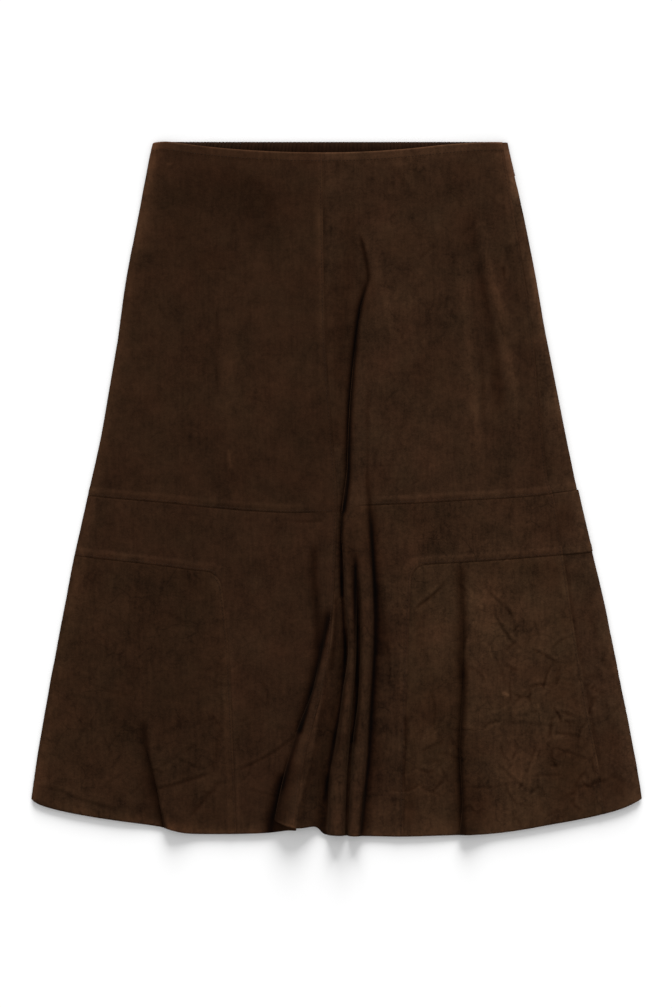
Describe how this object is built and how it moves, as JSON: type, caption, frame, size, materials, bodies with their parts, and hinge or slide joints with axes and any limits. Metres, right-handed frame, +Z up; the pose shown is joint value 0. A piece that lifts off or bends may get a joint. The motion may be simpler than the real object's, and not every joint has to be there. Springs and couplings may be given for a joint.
{
  "type": "a-line skirt",
  "caption": "Flared suede skirt laid flat, with a yoke-like band, L-shaped centre panels, soft folds at the middle and a gathered back waist.",
  "frame": {"origin": "middle of the skirt's bounding box, on the surface that it lies on", "axes": "+Z up out of the front, +Y from the hem to the waist, +X to the right of one who looks at the front"},
  "size_m": [0.6172, 0.7012, 0.0175],
  "materials": {
    "suede": "napped matte suede",
    "suede_inside": "matte suede, inner side"
  },
  "bodies": {
    "root": {"front_upper_left": "suede", "front_upper_right": "suede", "front_centre_left": "suede", "front_centre_right": "suede", "front_lower_left": "suede", "front_lower_right": "suede", "back_waistband": "suede_inside", "back_upper": "suede", "back_band": "suede", "back_lower": "suede"}
  },
  "joints": []
}
